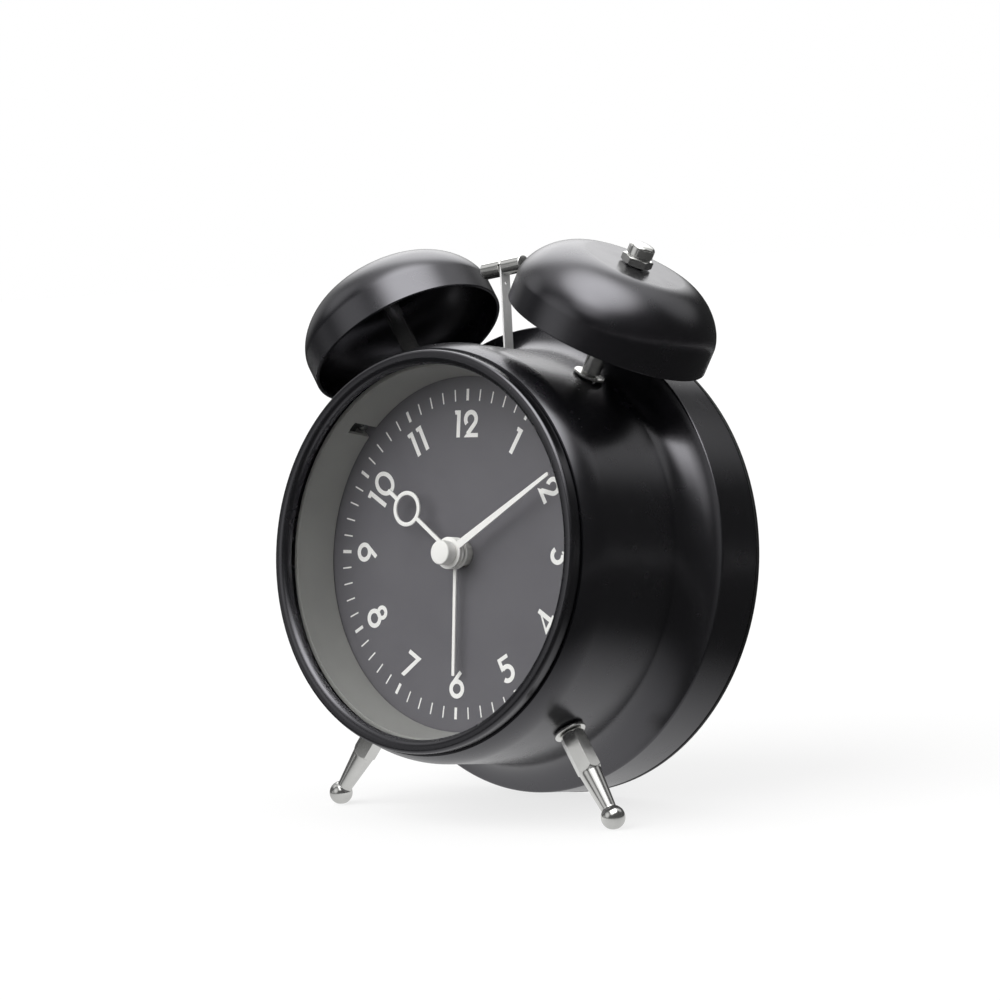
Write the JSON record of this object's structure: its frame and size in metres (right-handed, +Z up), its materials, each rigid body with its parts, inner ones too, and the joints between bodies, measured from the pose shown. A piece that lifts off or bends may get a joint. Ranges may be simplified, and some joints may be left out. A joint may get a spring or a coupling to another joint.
{
  "type": "twin-bell alarm clock",
  "caption": "Round twin-bell alarm clock with a stepped metal case, ball-ended feet, domed bells, a striking hammer and a battery movement with light.",
  "frame": {"origin": "on the floor under the middle of the clock's bounding box", "axes": "+Z up, -Y towards the side the dial faces, +X to the right of someone facing the dial"},
  "size_m": [0.1208, 0.0776, 0.1428],
  "materials": {
    "satin_black": "satin",
    "chrome": "polished",
    "steel": "plain",
    "brass": "turned",
    "hand_white": "white paint",
    "white_plastic": "moulded",
    "dial_grey": "matte print",
    "surround_grey": "moulded",
    "black_plastic": "fine grain",
    "grey_plastic": "moulded",
    "glass": "clear",
    "clear_plastic": "clear",
    "circuit_board": "lacquer",
    "copper": "enamelled wire",
    "cell_sleeve": "gloss"
  },
  "bodies": {
    "case": {"bezel": "satin_black", "front_glass": "glass", "dial_surround": "surround_grey", "dial_plate": "dial_grey", "dial_lamp": "clear_plastic", "motor_unit": "grey_plastic", "movement_housing": "grey_plastic", "dial_carrier": "grey_plastic", "bell_left": "satin_black", "bell_post_left": "chrome", "post_washer_left": "chrome", "post_nut_left": "steel", "cap_nut_left": "chrome", "bell_right": "satin_black", "bell_post_right": "chrome", "post_washer_right": "chrome", "post_nut_right": "steel", "cap_nut_right": "chrome", "foot_left": "chrome", "foot_washer_left": "chrome", "foot_nut_left": "steel", "foot_right": "chrome", "foot_washer_right": "chrome", "foot_nut_right": "steel", "case_shell": "satin_black", "hammer_pivot_pin": "steel", "hammer_bracket": "steel", "hammer_coil": "copper", "coil_core": "steel", "rear_cover": "black_plastic", "battery_upper": "cell_sleeve", "battery_lower": "cell_sleeve", "battery_contact_plus": "steel", "battery_contact_minus": "steel", "battery_link_contact": "steel", "alarm_switch_body": "steel", "light_switch": "steel", "control_board": "circuit_board", "rear_screw_1": "steel", "rear_screw_2": "steel", "rear_screw_3": "steel"},
    "minute_train": {"minute_hand": "hand_white", "hand_cap": "hand_white", "minute_arbor": "brass"},
    "hour_train": {"hour_hand": "hand_white", "hour_wheel": "brass"},
    "alarm_train": {"alarm_hand": "hand_white", "alarm_wheel": "white_plastic"},
    "time_setting": {"minute_wheel": "white_plastic", "time_set_knob": "black_plastic"},
    "alarm_setting": {"alarm_pinion": "white_plastic", "alarm_set_knob": "black_plastic"},
    "motor": {"motor_pinion": "brass"},
    "hammer": {"hammer_head": "chrome", "hammer_arm": "steel", "hammer_lever": "black_plastic", "hammer_armature": "steel"},
    "alarm_switch": {"alarm_switch": "grey_plastic"},
    "light_button": {"light_button": "grey_plastic"},
    "battery_door": {"battery_door": "black_plastic"}
  },
  "joints": [
    {"name": "minute_turn", "type": "hinge", "parent": "case", "child": "minute_train", "pos_m": [0.00028, -0.00505, 0.06456], "axis": [0, 0.9883, -0.1522], "continuous": true},
    {"name": "hour_turn", "type": "hinge", "parent": "case", "child": "hour_train", "pos_m": [0.00028, -0.00505, 0.06456], "axis": [0, 0.9883, -0.1522], "continuous": true},
    {"name": "alarm_turn", "type": "hinge", "parent": "case", "child": "alarm_train", "pos_m": [0.00028, -0.00505, 0.06456], "axis": [0, 0.9883, -0.1522], "continuous": true},
    {"name": "time_knob_turn", "type": "hinge", "parent": "case", "child": "time_setting", "pos_m": [0.01628, -0.00505, 0.06456], "axis": [0, 0.9883, -0.1522], "continuous": true},
    {"name": "alarm_knob_turn", "type": "hinge", "parent": "case", "child": "alarm_setting", "pos_m": [-0.01892, -0.00505, 0.06456], "axis": [0, 0.9883, -0.1522], "continuous": true},
    {"name": "motor_turn", "type": "hinge", "parent": "case", "child": "motor", "pos_m": [-0.0036, -0.00726, 0.05024], "axis": [0, 0.9883, -0.1522], "continuous": true},
    {"name": "hammer_swing", "type": "hinge", "parent": "case", "child": "hammer", "pos_m": [0.00188, 0.00569, 0.1054], "axis": [0, 0.9883, -0.1522], "range_deg": [-7.25, 12.75], "stiffness_Nm_per_rad": 0.01},
    {"name": "alarm_switch_slide", "type": "slide", "parent": "case", "child": "alarm_switch", "axis": [1, 0, 0], "range_m": [0, 0.004]},
    {"name": "light_button_press", "type": "slide", "parent": "case", "child": "light_button", "axis": [0, -0.9883, 0.1522], "range_m": [0, 0.001], "stiffness_N_per_m": 300, "springref_m": -0.0005},
    {"name": "battery_door_hinge", "type": "hinge", "parent": "case", "child": "battery_door", "pos_m": [0.00028, 0.0212, 0.01822], "axis": [-1, 0, 0], "range_deg": [0, 90]}
  ],
  "couplings": [
    {"joint": "hour_turn", "follows": "minute_turn", "ratio": 0.083333},
    {"joint": "time_knob_turn", "follows": "minute_turn", "ratio": -0.33333},
    {"joint": "motor_turn", "follows": "minute_turn", "ratio": -4},
    {"joint": "alarm_knob_turn", "follows": "alarm_turn", "ratio": -2}
  ]
}
